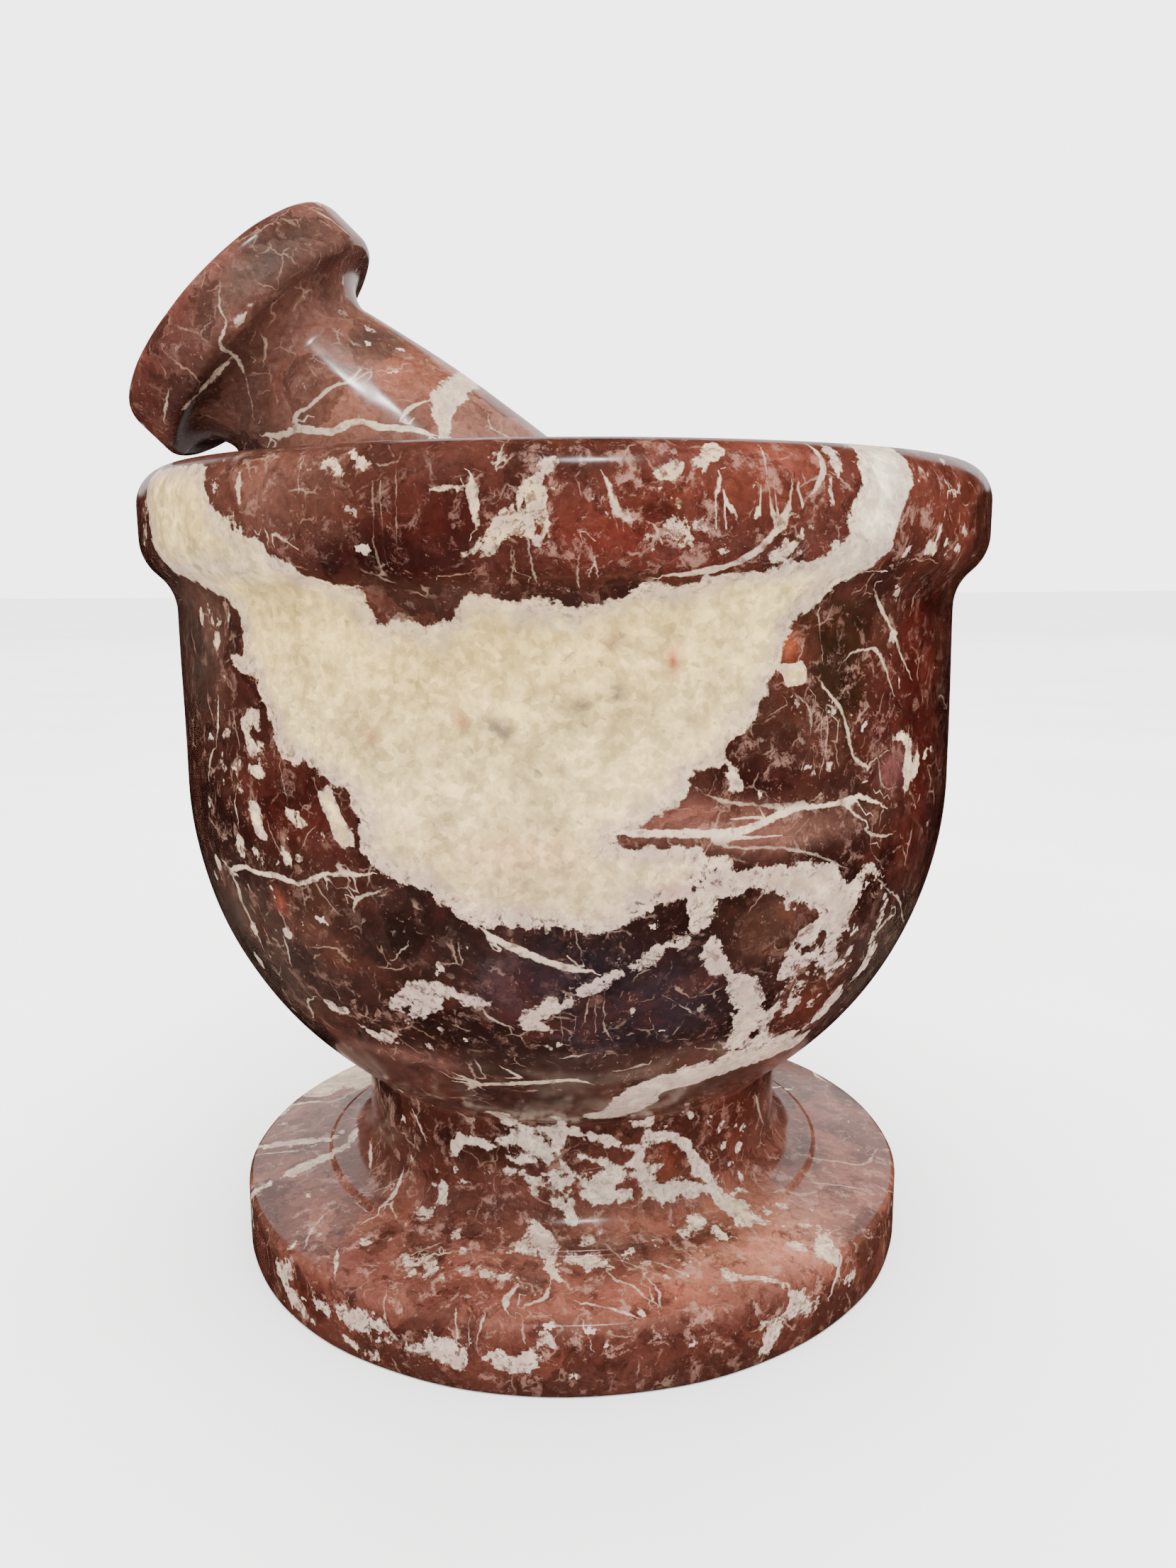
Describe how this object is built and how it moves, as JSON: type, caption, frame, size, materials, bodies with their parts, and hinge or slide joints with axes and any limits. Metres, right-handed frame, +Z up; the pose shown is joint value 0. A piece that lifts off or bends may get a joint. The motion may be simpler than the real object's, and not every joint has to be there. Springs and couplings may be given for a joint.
{
  "type": "mortar and pestle",
  "caption": "Pedestal mortar turned from one block of veined red marble, with a loose solid marble pestle leaning in its bowl, for crushing and grinding by hand.",
  "frame": {"origin": "centre of the foot's flat underside", "axes": "+Z up along the axis on which the mortar is turned; the pestle leans in the XZ plane, with its cap over the rim at -X"},
  "size_m": [0.1064, 0.105, 0.1319],
  "materials": {
    "mortar_marble": "polished dark red-brown marble with cream and white veins",
    "pestle_marble": "polished warm brown marble with a thin branching white vein"
  },
  "bodies": {
    "mortar": {"mortar": "mortar_marble"},
    "pestle": {"pestle": "pestle_marble"}
  },
  "joints": [
    {"name": "pestle_lift", "type": "slide", "parent": "mortar", "child": "pestle", "axis": [0, 0, 1], "range_m": [0, 0.075]}
  ]
}
